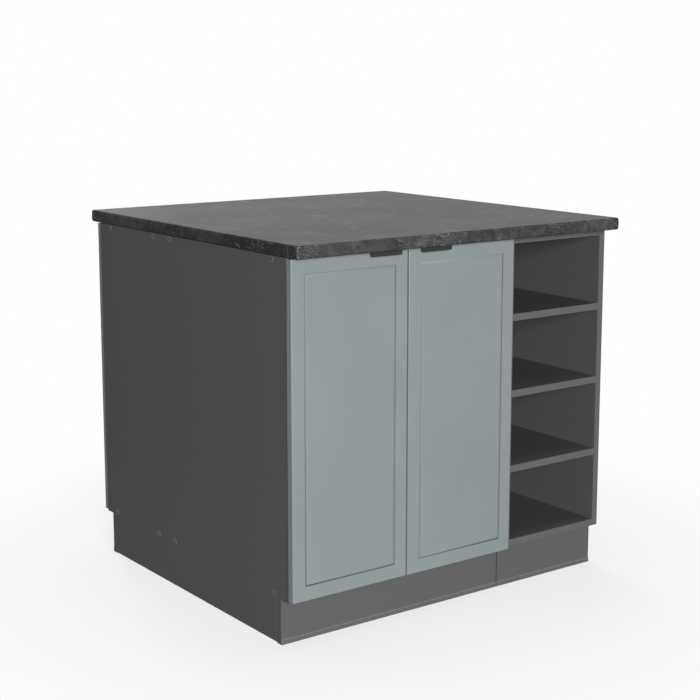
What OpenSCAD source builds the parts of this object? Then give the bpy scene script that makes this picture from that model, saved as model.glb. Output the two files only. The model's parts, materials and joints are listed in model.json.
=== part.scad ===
// Kitchen island unit: four floor cabinets back to back under one worktop.
// Millimetres. The origin is the centre of the footprint on the floor and +Z is up.
// The front row (two-door cabinet and open shelf unit) faces -Y, the rear row faces +Y.
// A row's own frame has its left panel's outer face at x = 0, as seen from its fronts,
// the panels' front edges at y = 0 with y growing into the cabinet, and the floor at z = 0.

/* [Cabinets] */
// Width of the two-door cabinets
wide_w = 600; // [500:10:800]
// Width of the one-door cabinet and the open unit
narrow_w = 300; // [280:10:400]
// Depth of the front row's side panels
front_d = 504; // [440:1:600]
// Depth of the rear row's side panels
rear_d = 296; // [270:1:400]
// Height from the underside of the bottoms to the underside of the worktop
carcass_h = 720; // [600:5:860]
// Height of the cabinet bottoms above the floor
plinth_h = 100; // [80:5:160]
// Thickness of all carcass boards
board_t = 16; // [15:0.5:18]
// Thickness of the back panels
back_t = 3; // [3:0.5:6]
// Distance from a back panel to the rear edges of the sides
back_inset = 12; // [6:1:16]
// Depth of the grooves that hold the back panels
groove_depth = 5; // [3:0.5:8]
// Width of the front top rails
front_rail_w = 100; // [70:5:120]
// Width of the rear top rails
rear_rail_w = 80; // [60:5:110]

/* [Shelves] */
// Height of the adjustable shelves above the bottoms' top faces
cupboard_shelf_up = 336; // [240:2:420]
// Distance of an adjustable shelf behind the panels' front edges
shelf_setback = 30; // [10:1:60]
// Clearance of an adjustable shelf at each end
shelf_clear = 1; // [0.5:0.5:2]
// Diameter of the shelf pins
pin_d = 5; // [4:0.5:6]
// Length of a shelf pin outside its hole
pin_out = 9; // [6:0.5:12]
// Length of a shelf pin inside its hole
pin_in = 8; // [6:0.5:10]
// Distance of the pins from the shelf's front and rear edges
pin_from_edge = 40; // [30:1:60]

/* [Plinths and glides] */
// Distance of a plinth's face behind the panels' front edges
plinth_setback = 25; // [10:1:50]
// Thickness of the plinth boards
plinth_t = 16; // [12:0.5:18]
// Gap between neighbouring plinth boards
plinth_joint = 1; // [0.5:0.25:3]
// Height of the glide strips, which is the gap under the side panels
glide_h = 3; // [2:0.5:8]
// Width of a glide strip
glide_w = 12; // [8:0.5:15]
// Distance of a glide strip from the ends of a panel's foot
glide_from_end = 2; // [1:0.5:30]

/* [Worktop] */
// Thickness of the worktop
top_t = 28; // [22:1:40]
// Overhang of the worktop past the outer side panels
top_over_side = 2; // [1:0.5:20]
// Overhang of the worktop past the panels' front and rear edges
top_over_front = 45; // [36:1:60]
// Radius of the worktop's upper and lower edges
top_edge_r = 3; // [1:0.5:5]
// Radius of the worktop's upright corners
top_corner_r = 5; // [1:0.5:12]

/* [Doors] */
// Thickness of the doors
door_t = 16; // [16:0.5:19]
// Gap between a door and the panels behind it
door_gap = 2; // [2:0.25:3]
// Distance of a door's upright edges inside its cell
door_reveal = 2; // [1.5:0.25:3]
// Distance of a door's lower edge above the underside of the bottom
door_low = 2; // [0:0.5:6]
// Distance of a door's upper edge below the worktop
door_high = 2; // [1.5:0.5:4]
// Width of the flat frame round a door's panel
frame_w = 31; // [24:0.5:60]
// Depth of the crease inside the frame
crease_drop = 2.5; // [1.5:0.25:3]
// Width of the flat floor of the crease
crease_w = 1; // [0.5:0.1:2]
// How far the panel's rounded edge falls towards the crease
rise_drop = 1.25; // [0.75:0.05:1.5]
// Width of the panel's rounded edge
rise_w = 9; // [6:0.5:24]
// Radius of a door's front edges
door_edge_r = 1.5; // [0.5:0.25:3]

/* [Edge pulls] */
// Length of an edge pull
pull_len = 80; // [50:5:160]
// Distance of a pull from the door's free edge
pull_from_edge = 25; // [10:1:60]
// Reach of the pull's lip in front of the door
pull_reach = 14; // [8:0.5:18]
// Height of the pull's front lip
pull_lip_h = 10; // [6:0.5:16]
// Height of the flange behind the door
pull_flange_h = 22; // [16:1:30]
// Wall of the pull's profile
pull_wall = 1.2; // [0.8:0.1:1.3]
// Outer radius of the pull's bends
pull_bend_r = 1.8; // [1.5:0.1:2]
// Radius of the pull's lower corners
pull_corner_r = 3; // [1:0.5:4]

/* [Hinges] */
// Distance of a hinge's centre from the door's end
hinge_from_end = 100; // [80:5:140]
// Diameter of the hinge cup
cup_d = 35; // [34:0.5:36]
// Distance of the cup's bore from the door's edge
cup_from_edge = 5; // [4:0.5:6]
// Depth of the cup below the door's back face
cup_depth = 11.5; // [10.5:0.25:12]
// Wall of the cup
cup_wall = 0.8; // [0.6:0.1:1]
// Thickness of the cup's flange
flange_t = 0.8; // [0.6:0.1:1]
// Distance of the cup's screws above and below its centre
cup_screw_off = 24; // [22:0.5:26]
// Distance of the arm's pivot from the side panel's inner face
arm_pivot_in = 14; // [13:0.5:16]
// Distance of the arm's pivot behind the panels' front edges
arm_pivot_back = 2; // [1:0.5:4]
// Distance of the cup's pivot from the door's edge
cup_pivot_in = 9; // [8.5:0.25:10]
// Distance of the cup's pivot below the door's back face
cup_pivot_deep = 5.5; // [5:0.25:6.5]
// Radius of the hinge pins
hinge_pin_r = 1; // [0.8:0.05:1.2]
// Running clearance of the hinge pins in radius
hinge_run = 0.05; // [0.03:0.01:0.1]
// Outer radius of the link's eyes
link_eye_r = 2; // [1.8:0.05:2.2]
// Thickness of the link
link_t = 1.6; // [1.2:0.1:2]
// Height of the link along its pins
link_w = 9; // [7:0.5:10]
// Rise of the link's bow over the line between its pins
link_bow = 8; // [7:0.25:8.5]
// Wall of the arm's sheet
arm_wall = 1.2; // [1:0.1:1.5]
// Distance of the mounting plate's screws behind the front edges
plate_back = 37; // [32:0.5:40]
// Distance of the mounting plate's screws above and below its centre
plate_screw_off = 16; // [14:0.5:18]

/* [Screws] */
// Diameter of a connecting screw's shank
screw_d = 7; // [5:0.5:7.5]
// Diameter of a connecting screw's head
screw_head_d = 10; // [8:0.5:12]
// Height of a connecting screw's head
screw_head_h = 4; // [3:0.5:6]
// Length of a connecting screw
screw_len = 50; // [40:1:60]
// Width across flats of its socket
socket_w = 4; // [3:0.5:5]
// Distance of the front connecting screws behind the front edges
screw_from_front = 50; // [30:1:60]
// Distance of the rear connecting screws from the rear edges
screw_from_back = 38; // [30:1:50]
// Diameter of the joining and worktop screws
join_d = 4; // [3:0.25:5]
// Length of the joining and worktop screws under their heads
join_len = 30; // [24:1:31]
// Diameter of their pan heads
join_head_d = 8; // [7:0.5:10]
// Height of their pan heads
join_head_h = 2.4; // [1.5:0.1:3]
// Height of the joining screws above the bottoms and below the top
join_from_end = 150; // [120:5:200]
// Distance of the joining screws behind the front edges and before the backs
join_in = 110; // [90:5:130]
// Distance of the worktop screws from the side panels' inner faces
top_screw_in = 60; // [40:5:100]

/* [Hidden] */
$fn = 48;
fine = 200;  // facets of the large circle whose arc rounds a door's panel

carcass_colour = "#4a4b4c";
back_colour = "#3c3d3e";
worktop_colour = "#4b4b4d";
door_colour = "#919b9d";
pull_colour = "#26282a";
steel_colour = "#b9bcc0";
glide_colour = "#8d8f90";

// Clearances that every piece shares
sliver = 0.1;       // past a face, so that a cut goes through it
bore_clear = 0.05;  // round a screw or pin in its hole, in radius
seat_clear = 0.2;   // past the end of a screw or pin in its hole
panel_clear = 0.2;  // round a back panel in its groove, and behind a board before it

island_w = wide_w + narrow_w;
island_d = front_d + rear_d;
top_z = plinth_h + carcass_h;
cell_w = wide_w / 2;
bottom_top_z = plinth_h + board_t;
rail_z = top_z - board_t;
open_count = 4;       // compartments of the open unit
open_step = (carcass_h - board_t) / open_count;
cupboard_shelf_z = bottom_top_z + cupboard_shelf_up;
back_room = back_inset + back_t + 2 * panel_clear;
low_screw_z = plinth_h + board_t / 2;
high_screw_z = rail_z + board_t / 2;
cupboard_levels = [low_screw_z, high_screw_z];
open_levels = [for (i = [0 : open_count]) low_screw_z + i * open_step];
notch_d = plinth_setback + plinth_t;

door_z = plinth_h + door_low;
door_h = carcass_h - door_low - door_high;
hinge_levels = [door_z + hinge_from_end, door_z + door_h - hinge_from_end];
cup_bore_clear = 0.1;
cup_rim_w = 2.5;      // width of the flange round the cup
cup_screw_r = 1.7;    // shank of a cup screw
cup_screw_len = 10;
cup_screw_head_r = 3.4;
cup_screw_head_h = 0.4;
ear_gap = 0.3;        // between a link and the ears beside it
ear_t = 1.2;
ear_r = 2.4;
arm_pivot = [board_t + arm_pivot_in, arm_pivot_back];
cup_pivot = [door_reveal + cup_pivot_in, -door_gap - cup_pivot_deep];
cup_x = door_reveal + cup_from_edge + cup_d / 2;
link_span = norm(arm_pivot - cup_pivot);
link_turn = atan2(arm_pivot.y - cup_pivot.y, arm_pivot.x - cup_pivot.x);
bow_r = (link_span * link_span / 4 + link_bow * link_bow) / (2 * link_bow);
arm_half = link_w / 2 + ear_gap + ear_t;  // half the arm's height
arm_nose_r = 3;
arm_top = arm_pivot.x + arm_nose_r;       // face of the arm towards the cabinet's middle
arm_tail = plate_back + 19;               // rear end of the arm
arm_throat = [8, 10];                     // slope of the cheeks from the nose down to the plate
arm_web_back = 6;                         // start of the arm's web behind its pin
set_screw_r = 3;
set_screw_off = 9;                        // the two set screws before and behind the plate's screws
set_screw_proud = 0.8;                    // over the arm's face
slot_l = 3.6;                             // cross slot of a screw
slot_w = 0.8;
slot_deep = 0.8;
plate_t = 1.6;
plate_wing_l = 16;    // along the cabinet's depth
plate_wing_past = 7;  // past a plate screw, up or down
plate_body_l = 34;
plate_body_h = 4;
plate_screw_r = 2.5;
plate_screw_len = 11;
plate_head_r = 4;
plate_head_h = 1.4;
socket_deep = 3;      // of a connecting screw
glide_step = 1;       // the slanting lower edges of a glide strip, across and up
pull_screw_r = 1.6;
pull_screw_len = 11;
pull_screw_head_r = 3;

// ---- Places ----

module front_row() {
  translate([-island_w / 2, -island_d / 2, 0]) children();
}

module rear_row() {
  rotate([0, 0, 180]) front_row() children();
}

module narrow_place() {
  translate([wide_w, 0, 0]) children();
}

// Mirrors what is drawn for a cell's left side to its right side
module right_hand(w) {
  translate([w, 0, 0]) mirror([1, 0, 0]) children();
}

// The right-hand cell of a two-door cabinet
module second_cell() {
  translate([cell_w, 0, 0]) right_hand(cell_w) children();
}

// ---- Boards ----

function rail_spans(depth) = [
  [0, front_rail_w],
  [depth - back_room - rear_rail_w, depth - back_room]
];

function screw_places(depth) = [screw_from_front, depth - screw_from_back];

// Hole of a connecting screw, from a board's outer face at x = 0 along +X
module screw_hole() {
  rotate([0, 90, 0]) {
    translate([0, 0, -sliver])
      cylinder(r = screw_head_d / 2 + bore_clear, h = screw_head_h + bore_clear + sliver);
    cylinder(r = screw_d / 2 + bore_clear, h = screw_len + seat_clear);
  }
}

module screw_holes(depth, levels) {
  for (y = screw_places(depth), z = levels) translate([0, y, z]) screw_hole();
}

module pin_holes(depth) {
  for (y = pin_places(depth))
    translate([board_t - pin_in - seat_clear, y, pin_z()])
      rotate([0, 90, 0]) cylinder(r = pin_d / 2 + bore_clear, h = pin_in + seat_clear + sliver);
}

function pin_z() = cupboard_shelf_z - pin_d / 2 - bore_clear;

function pin_places(depth) = [
  shelf_setback + pin_from_edge,
  depth - back_room - pin_from_edge
];

// Holes of the mounting plates' screws in a side panel
module plate_holes() {
  for (z = hinge_levels, s = [-1, 1])
    translate([board_t + sliver, plate_back, z + s * plate_screw_off]) rotate([0, -90, 0])
      cylinder(r = plate_screw_r + bore_clear, h = plate_screw_len + seat_clear + sliver);
}

function join_levels() = [bottom_top_z + join_from_end, rail_z - join_from_end];

function join_places(depth) = [join_in, depth - back_room - join_in];

// Holes of the joining screws: through the panel before x = 0 and into the one behind it
module join_holes(depth) {
  for (y = join_places(depth), z = join_levels())
    translate([-board_t - sliver, y, z]) rotate([0, 90, 0])
      cylinder(r = join_d / 2 + bore_clear, h = join_len + seat_clear + sliver);
}

// A side panel whose outer face is at x = 0
module side_panel(depth, levels) {
  difference() {
    rotate([90, 0, 90]) linear_extrude(board_t) polygon([
      [0, plinth_h], [0, top_z], [depth, top_z],
      [depth, glide_h], [notch_d, glide_h], [notch_d, plinth_h]
    ]);
    translate([board_t - groove_depth, depth - back_inset - back_t - panel_clear, plinth_h])
      cube([groove_depth + sliver, back_t + 2 * panel_clear, carcass_h + sliver]);
    screw_holes(depth, levels);
  }
}

module cupboard_side(depth, hinged) {
  difference() {
    side_panel(depth, cupboard_levels);
    pin_holes(depth);
    if (hinged) plate_holes();
  }
}

// A level board between the sides of a unit w wide
module cross_board(w, depth, span, z) {
  difference() {
    translate([board_t, span[0], z]) cube([w - 2 * board_t, span[1] - span[0], board_t]);
    screw_holes(depth, [z + board_t / 2]);
    right_hand(w) screw_holes(depth, [z + board_t / 2]);
  }
}

module full_board(w, depth, z) {
  cross_board(w, depth, [0, depth - back_room], z);
}

module back_panel(w, depth) {
  translate([board_t - groove_depth + panel_clear, depth - back_inset - back_t, plinth_h + panel_clear])
    cube([w - 2 * (board_t - groove_depth + panel_clear), back_t, carcass_h - 2 * panel_clear]);
}

module loose_shelf(w, depth) {
  translate([board_t + shelf_clear, shelf_setback, cupboard_shelf_z])
    cube([w - 2 * (board_t + shelf_clear), depth - back_room - shelf_setback, board_t]);
}

// A plinth board stands on the floor and stops half a joint short of each end
module plinth_board(w) {
  translate([plinth_joint / 2, plinth_setback, 0]) cube([w - plinth_joint, plinth_t, plinth_h]);
}

function top_screw_xs(w) = [board_t + top_screw_in, w - board_t - top_screw_in];

// Holes of the worktop screws, up through a board under the worktop
module top_screw_holes(w, ys) {
  for (x = top_screw_xs(w), y = ys)
    translate([x, y, rail_z - sliver])
      cylinder(r = join_d / 2 + bore_clear, h = join_len + seat_clear + sliver);
}

function span_middles(spans) = [for (s = spans) (s[0] + s[1]) / 2];

module rail(w, depth, which) {
  span = rail_spans(depth)[which];
  difference() {
    cross_board(w, depth, span, rail_z);
    top_screw_holes(w, span_middles([span]));
  }
}

// A square plate along +X and +Y whose front corners, at y = -t, are rounded
module rounded_front(l, t, r) {
  translate([0, r - t]) square([l, t - r]);
  translate([r, -t]) square([l - 2 * r, t]);
  for (x = [r, l - r]) translate([x, r - t]) circle(r);
}

module rounded_plate(l, t, r) {
  square_x = l - 2 * r;
  square_y = t - 2 * r;
  translate([r, 0]) square([square_x, t]);
  translate([0, r]) square([l, square_y]);
  for (x = [r, l - r], y = [r, t - r]) translate([x, y]) circle(r);
}

module worktop_slab() {
  w = island_w + 2 * top_over_side;
  d = island_d + 2 * top_over_front;
  translate([-w / 2, -d / 2, top_z]) intersection() {
    linear_extrude(top_t) rounded_plate(w, d, top_corner_r);
    translate([0, d, 0]) rotate([90, 0, 0]) linear_extrude(d) rounded_plate(w, top_t, top_edge_r);
    rotate([90, 0, 90]) linear_extrude(w) rounded_plate(d, top_t, top_edge_r);
  }
}

module all_top_screw_holes() {
  front_row() {
    top_screw_holes(wide_w, span_middles(rail_spans(front_d)));
    narrow_place() top_screw_holes(narrow_w, span_middles(rail_spans(front_d)));
  }
  rear_row() {
    top_screw_holes(wide_w, span_middles(rail_spans(rear_d)));
    narrow_place() top_screw_holes(narrow_w, span_middles(rail_spans(rear_d)));
  }
}

// ---- Doors and pulls, drawn for a cell whose hinges are on its left ----

function door_w(cell) = cell - 2 * door_reveal;

// Section of the raised panel between two creases l apart, with its face at y = -door_t
module panel_section(l) {
  rise_r = (rise_w * rise_w + rise_drop * rise_drop) / (2 * rise_drop);
  intersection() {
    translate([0, -door_t]) square([l, crease_drop + sliver]);
    union() {
      translate([rise_w, -door_t]) square([l - 2 * rise_w, door_t]);
      for (x = [rise_w, l - rise_w]) translate([x, rise_r - door_t]) circle(rise_r, $fn = fine);
    }
  }
}

// Extrudes a section that is drawn along X to a height h, and one drawn along Z to a width w
module up(h) {
  linear_extrude(h) children();
}

module across(w) {
  translate([w, 0, 0]) rotate([0, -90, 0]) linear_extrude(w) children();
}

// What the cutter takes out of a door w wide: crease and rounded edge along all four sides
module crease_cut(w) {
  open_w = w - 2 * frame_w;
  open_h = door_h - 2 * frame_w;
  pad_w = open_w - 2 * crease_w;
  pad_h = open_h - 2 * crease_w;
  translate([frame_w, 0, frame_w]) difference() {
    translate([0, -door_t - sliver, 0]) cube([open_w, crease_drop + sliver, open_h]);
    translate([crease_w, 0, crease_w]) intersection() {
      up(pad_h) panel_section(pad_w);
      across(pad_w) panel_section(pad_h);
    }
  }
}

module cup_holes() {
  for (z = hinge_levels) translate([cup_x, sliver - door_gap, z]) rotate([90, 0, 0]) {
    cylinder(r = cup_d / 2 + cup_bore_clear, h = cup_depth + seat_clear + sliver);
    for (s = [-1, 1]) translate([0, s * cup_screw_off, 0])
      cylinder(r = cup_screw_r + bore_clear, h = cup_screw_len + seat_clear + sliver);
  }
}

module door_leaf(cell) {
  w = door_w(cell);
  difference() {
    translate([door_reveal, -door_gap, door_z]) difference() {
      intersection() {
        up(door_h) rounded_front(w, door_t, door_edge_r);
        across(w) rounded_front(door_h, door_t, door_edge_r);
      }
      crease_cut(w);
    }
    cup_holes();
    pull_place(cell) pull_screws(bore_clear, seat_clear);
  }
}

// A pull's own frame: x along the door's top edge, y = 0 at the door's back face, z = 0 at its top
module pull_place(cell) {
  translate([cell - door_reveal - pull_from_edge - pull_len, -door_gap, door_z + door_h]) children();
}

module pull_screws(clear, extra) {
  for (x = [pull_len / 4, 3 * pull_len / 4])
    translate([x, pull_wall, -pull_flange_h / 2 - pull_wall]) rotate([90, 0, 0]) {
      cylinder(r1 = pull_screw_head_r + clear, r2 = pull_screw_r + clear, h = pull_wall + clear);
      cylinder(r = pull_screw_r + clear, h = pull_wall + pull_screw_len + extra);
    }
}

// Section of the pull: flange behind the door, plate over its top edge, lip in front
module pull_section() {
  lip_y = -door_t - pull_reach;
  mid_y = lip_y + pull_bend_r;
  back_y = pull_wall - pull_bend_r;
  bend_z = pull_wall - pull_bend_r;
  inner_r = pull_bend_r - pull_wall;
  difference() {
    union() {
      translate([mid_y, 0]) square([back_y - mid_y, pull_wall]);
      translate([lip_y, pull_wall - pull_lip_h]) square([pull_wall, pull_lip_h - pull_bend_r]);
      translate([0, -pull_flange_h]) square([pull_wall, pull_flange_h + bend_z]);
      for (y = [mid_y, back_y]) translate([y, bend_z]) circle(pull_bend_r);
    }
    // the inside of the front bend, and the finger gap with the door behind it
    translate([mid_y, bend_z]) circle(inner_r);
    translate([mid_y - inner_r, -pull_lip_h]) square([inner_r, pull_lip_h + bend_z]);
    translate([mid_y, -pull_flange_h - sliver]) square([-mid_y, pull_flange_h + sliver]);
  }
}

// The pull's profile, with the lower corners of its lip rounded
module pull_profile() {
  intersection() {
    rotate([90, 0, 90]) linear_extrude(pull_len) pull_section();
    union() {
      translate([0, -door_t, pull_wall - pull_lip_h]) rotate([90, 0, 0]) linear_extrude(pull_reach)
        rounded_plate(pull_len, pull_lip_h + pull_corner_r, pull_corner_r);
      translate([0, -door_t - sliver, -pull_flange_h])
        cube([pull_len, door_t + pull_wall + sliver, pull_flange_h + pull_wall]);
    }
  }
}

module edge_pull(cell) {
  pull_place(cell) {
    difference() {
      pull_profile();
      pull_screws(bore_clear, seat_clear);
    }
    pull_screws(0, 0);
  }
}

// ---- Hinges, drawn for a cell whose hinges are on its left ----

// Draws along +Z, centred on z = 0, from a section in the x-y plane
module centred(h) {
  translate([0, 0, -h / 2]) linear_extrude(h) children();
}

module at_hinges() {
  for (z = hinge_levels) translate([0, 0, z]) children();
}

module cup_flange() {
  rotate([90, 0, 0]) linear_extrude(flange_t) {
    circle(cup_d / 2 + cup_rim_w);
    for (s = [-1, 1]) {
      translate([0, s * cup_screw_off]) circle(cup_screw_head_r + cup_rim_w);
      translate([-cup_screw_head_r - cup_rim_w, min(0, s * cup_screw_off)])
        square([2 * (cup_screw_head_r + cup_rim_w), cup_screw_off]);
    }
  }
}

// One cup: pressed bowl with its flange, two ears that hold the pin, and two screws
module hinge_cup() {
  ear_in = link_w / 2 + ear_gap;
  floor_y = -door_gap - cup_depth;
  difference() {
    union() {
      difference() {
        union() {
          translate([cup_x, -door_gap + flange_t, 0]) cup_flange();
          translate([cup_x, -door_gap, 0]) rotate([90, 0, 0]) cylinder(r = cup_d / 2, h = cup_depth);
        }
        translate([cup_x, -door_gap + flange_t + sliver, 0]) rotate([90, 0, 0])
          cylinder(r = cup_d / 2 - cup_wall, h = cup_depth + flange_t - cup_wall + sliver);
      }
      intersection() {
        translate([cup_x, -door_gap, 0]) rotate([90, 0, 0])
          cylinder(r = cup_d / 2 - cup_wall / 2, h = cup_depth - cup_wall / 2);
        for (s = [-1, 1]) translate([0, 0, s * (ear_in + ear_t / 2)]) centred(ear_t) {
          translate(cup_pivot) circle(ear_r);
          translate([cup_pivot.x - ear_r - cup_wall, floor_y])
            square([2 * ear_r + cup_wall, cup_pivot.y - floor_y]);
        }
      }
      translate([cup_pivot.x, cup_pivot.y, 0])
        cylinder(r = hinge_pin_r, h = 2 * (ear_in + ear_t / 2), center = true);
    }
    cup_screws(bore_clear);
  }
  cup_screws(0);
}

module cup_screws(clear) {
  for (s = [-1, 1]) translate([cup_x, -door_gap + flange_t, s * cup_screw_off]) rotate([90, 0, 0]) {
    cylinder(r = cup_screw_r + clear, h = cup_screw_len + flange_t);
    if (clear == 0) translate([0, 0, -cup_screw_head_h])
      cylinder(r = cup_screw_head_r, h = cup_screw_head_h);
  }
}

// The bowed link between the arm's pin and the cup's pin
module hinge_link() {
  centre = [link_span / 2, bow_r - link_bow];
  translate(cup_pivot) rotate([0, 0, link_turn]) centred(link_w) difference() {
    union() {
      intersection() {
        difference() {
          translate(centre) circle(bow_r + link_t / 2);
          translate(centre) circle(bow_r - link_t / 2);
        }
        translate([-bow_r, -2 * bow_r]) square([2 * bow_r + link_span, 2 * bow_r]);
      }
      circle(link_eye_r);
      translate([link_span, 0]) circle(link_eye_r);
    }
    circle(hinge_pin_r + hinge_run);
    translate([link_span, 0]) circle(hinge_pin_r + hinge_run);
  }
}

// One cheek of the arm, seen along its pin
module arm_cheek() {
  low_x = board_t + plate_t + seat_clear;
  polygon([
    [arm_pivot.x - arm_nose_r, arm_pivot.y], arm_pivot + [-arm_throat.x, arm_throat.y],
    [low_x, arm_pivot.y + 2 * arm_throat.y], [low_x, arm_tail],
    [arm_top, arm_tail], [arm_top, arm_pivot.y]
  ]);
  translate(arm_pivot) circle(arm_nose_r);
}

// A cross slot in a screw's head whose face is at z = 0
module cross_slot(l, w, deep) {
  for (a = [0, 90]) rotate([0, 0, a]) cube([l, w, 2 * deep], center = true);
}

// Channel-shaped arm with its pin and the two set screws that hold it on the plate
module hinge_arm() {
  for (s = [-1, 1]) translate([0, 0, s * (arm_half - ear_t / 2)]) centred(ear_t) arm_cheek();
  translate([arm_top - arm_wall, arm_pivot.y + arm_web_back, -arm_half])
    cube([arm_wall, arm_tail - arm_pivot.y - arm_web_back, 2 * arm_half]);
  translate([arm_pivot.x, arm_pivot.y, 0])
    cylinder(r = hinge_pin_r, h = 2 * arm_half - ear_t, center = true);
  for (s = [-1, 1])
    translate([arm_top + set_screw_proud, plate_back + s * set_screw_off, 0]) rotate([0, 90, 0])
      difference() {
        mirror([0, 0, 1])
          cylinder(r = set_screw_r, h = arm_top + set_screw_proud - board_t - plate_body_h);
        cross_slot(slot_l, slot_w, slot_deep);
      }
}

module mounting_plate() {
  wing_h = 2 * (plate_screw_off + plate_wing_past);
  difference() {
    union() {
      translate([board_t, plate_back - plate_wing_l / 2, -wing_h / 2])
        cube([plate_t, plate_wing_l, wing_h]);
      translate([board_t, plate_back - plate_body_l / 2, -link_w / 2])
        cube([plate_body_h, plate_body_l, link_w]);
    }
    plate_screws(bore_clear);
  }
  plate_screws(0);
}

module plate_screws(clear) {
  for (s = [-1, 1])
    translate([board_t + plate_t, plate_back, s * plate_screw_off]) rotate([0, -90, 0]) {
      cylinder(r = plate_screw_r + clear, h = plate_t + plate_screw_len);
      if (clear == 0) mirror([0, 0, 1]) difference() {
        cylinder(r = plate_head_r, h = plate_head_h);
        translate([0, 0, plate_head_h]) cross_slot(slot_l, slot_w, slot_deep);
      }
    }
}

module every_hinge_cell() {
  front_row() {
    children();
    second_cell() children();
  }
  rear_row() {
    children();
    second_cell() children();
    narrow_place() right_hand(narrow_w) children();
  }
}

// ---- Screws, pins and glides ----

module connecting_screw() {
  rotate([0, 90, 0]) difference() {
    union() {
      cylinder(r = screw_head_d / 2, h = screw_head_h);
      cylinder(r = screw_d / 2, h = screw_len);
    }
    translate([0, 0, -sliver])
      cylinder(r = socket_w / 2 / cos(30), h = socket_deep + sliver, $fn = 6);
  }
}

module screws_of_unit(w, depth, levels) {
  for (y = screw_places(depth), z = levels) translate([0, y, z]) {
    connecting_screw();
    right_hand(w) connecting_screw();
  }
}

// A pan-head screw along +Z whose head sits under z = 0
module pan_screw() {
  translate([0, 0, -join_head_h]) difference() {
    union() {
      cylinder(r = join_head_d / 2, h = join_head_h);
      cylinder(r = join_d / 2, h = join_head_h + join_len);
    }
    cross_slot(slot_l, slot_w, slot_deep);
  }
}

module joiners(depth) {
  for (y = join_places(depth), z = join_levels())
    translate([-board_t, y, z]) rotate([0, 90, 0]) pan_screw();
}

module top_screws(w, depth) {
  for (x = top_screw_xs(w), y = span_middles(rail_spans(depth)))
    translate([x, y, rail_z]) pan_screw();
}

module pins_of_unit(w, depth) {
  for (y = pin_places(depth)) translate([0, y, pin_z()]) {
    translate([board_t - pin_in, 0, 0]) rotate([0, 90, 0]) cylinder(r = pin_d / 2, h = pin_in + pin_out);
    right_hand(w)
      translate([board_t - pin_in, 0, 0]) rotate([0, 90, 0]) cylinder(r = pin_d / 2, h = pin_in + pin_out);
  }
}

module glides_of_unit(w, depth) {
  half_w = glide_w / 2;
  strip_l = depth - notch_d - 2 * glide_from_end;
  for (x = [board_t / 2, w - board_t / 2])
    translate([x, depth - glide_from_end, 0]) rotate([90, 0, 0]) linear_extrude(strip_l) polygon([
      [half_w - glide_step, 0], [half_w, glide_step], [half_w, glide_h],
      [-half_w, glide_h], [-half_w, glide_step], [glide_step - half_w, 0]
    ]);
}

// ---- Sub-parts ----

module worktop() {
  color(worktop_colour) difference() {
    worktop_slab();
    all_top_screw_holes();
  }
}

module front_left_side() {
  color(carcass_colour) front_row() cupboard_side(front_d, true);
}

module front_right_side() {
  color(carcass_colour) front_row() difference() {
    right_hand(wide_w) cupboard_side(front_d, true);
    narrow_place() join_holes(front_d);
  }
}

module front_bottom() {
  color(carcass_colour) front_row() full_board(wide_w, front_d, plinth_h);
}

module front_fore_rail() {
  color(carcass_colour) front_row() rail(wide_w, front_d, 0);
}

module front_aft_rail() {
  color(carcass_colour) front_row() rail(wide_w, front_d, 1);
}

module front_back_panel() {
  color(back_colour) front_row() back_panel(wide_w, front_d);
}

module front_shelf() {
  color(carcass_colour) front_row() loose_shelf(wide_w, front_d);
}

module open_left_side() {
  color(carcass_colour) front_row() narrow_place() difference() {
    side_panel(front_d, open_levels);
    join_holes(front_d);
  }
}

module open_right_side() {
  color(carcass_colour) front_row() narrow_place()
    right_hand(narrow_w) side_panel(front_d, open_levels);
}

module open_board(level) {
  front_row() narrow_place() full_board(narrow_w, front_d, plinth_h + level * open_step);
}

module open_bottom() {
  color(carcass_colour) open_board(0);
}

module open_low_shelf() {
  color(carcass_colour) open_board(1);
}

module open_mid_shelf() {
  color(carcass_colour) open_board(2);
}

module open_high_shelf() {
  color(carcass_colour) open_board(3);
}

module open_top() {
  color(carcass_colour) difference() {
    open_board(open_count);
    all_top_screw_holes();
  }
}

module open_back_panel() {
  color(back_colour) front_row() narrow_place() back_panel(narrow_w, front_d);
}

module rear_left_side() {
  color(carcass_colour) rear_row() cupboard_side(rear_d, true);
}

module rear_right_side() {
  color(carcass_colour) rear_row() difference() {
    right_hand(wide_w) cupboard_side(rear_d, true);
    narrow_place() join_holes(rear_d);
  }
}

module rear_bottom() {
  color(carcass_colour) rear_row() full_board(wide_w, rear_d, plinth_h);
}

module rear_fore_rail() {
  color(carcass_colour) rear_row() rail(wide_w, rear_d, 0);
}

module rear_aft_rail() {
  color(carcass_colour) rear_row() rail(wide_w, rear_d, 1);
}

module rear_back_panel() {
  color(back_colour) rear_row() back_panel(wide_w, rear_d);
}

module rear_shelf() {
  color(carcass_colour) rear_row() loose_shelf(wide_w, rear_d);
}

module single_left_side() {
  color(carcass_colour) rear_row() narrow_place() difference() {
    cupboard_side(rear_d, false);
    join_holes(rear_d);
  }
}

module single_right_side() {
  color(carcass_colour) rear_row() narrow_place()
    right_hand(narrow_w) cupboard_side(rear_d, true);
}

module single_bottom() {
  color(carcass_colour) rear_row() narrow_place() full_board(narrow_w, rear_d, plinth_h);
}

module single_fore_rail() {
  color(carcass_colour) rear_row() narrow_place() rail(narrow_w, rear_d, 0);
}

module single_aft_rail() {
  color(carcass_colour) rear_row() narrow_place() rail(narrow_w, rear_d, 1);
}

module single_back_panel() {
  color(back_colour) rear_row() narrow_place() back_panel(narrow_w, rear_d);
}

module single_shelf() {
  color(carcass_colour) rear_row() narrow_place() loose_shelf(narrow_w, rear_d);
}

module front_plinth() {
  color(carcass_colour) front_row() plinth_board(wide_w);
}

module open_plinth() {
  color(carcass_colour) front_row() narrow_place() plinth_board(narrow_w);
}

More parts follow.
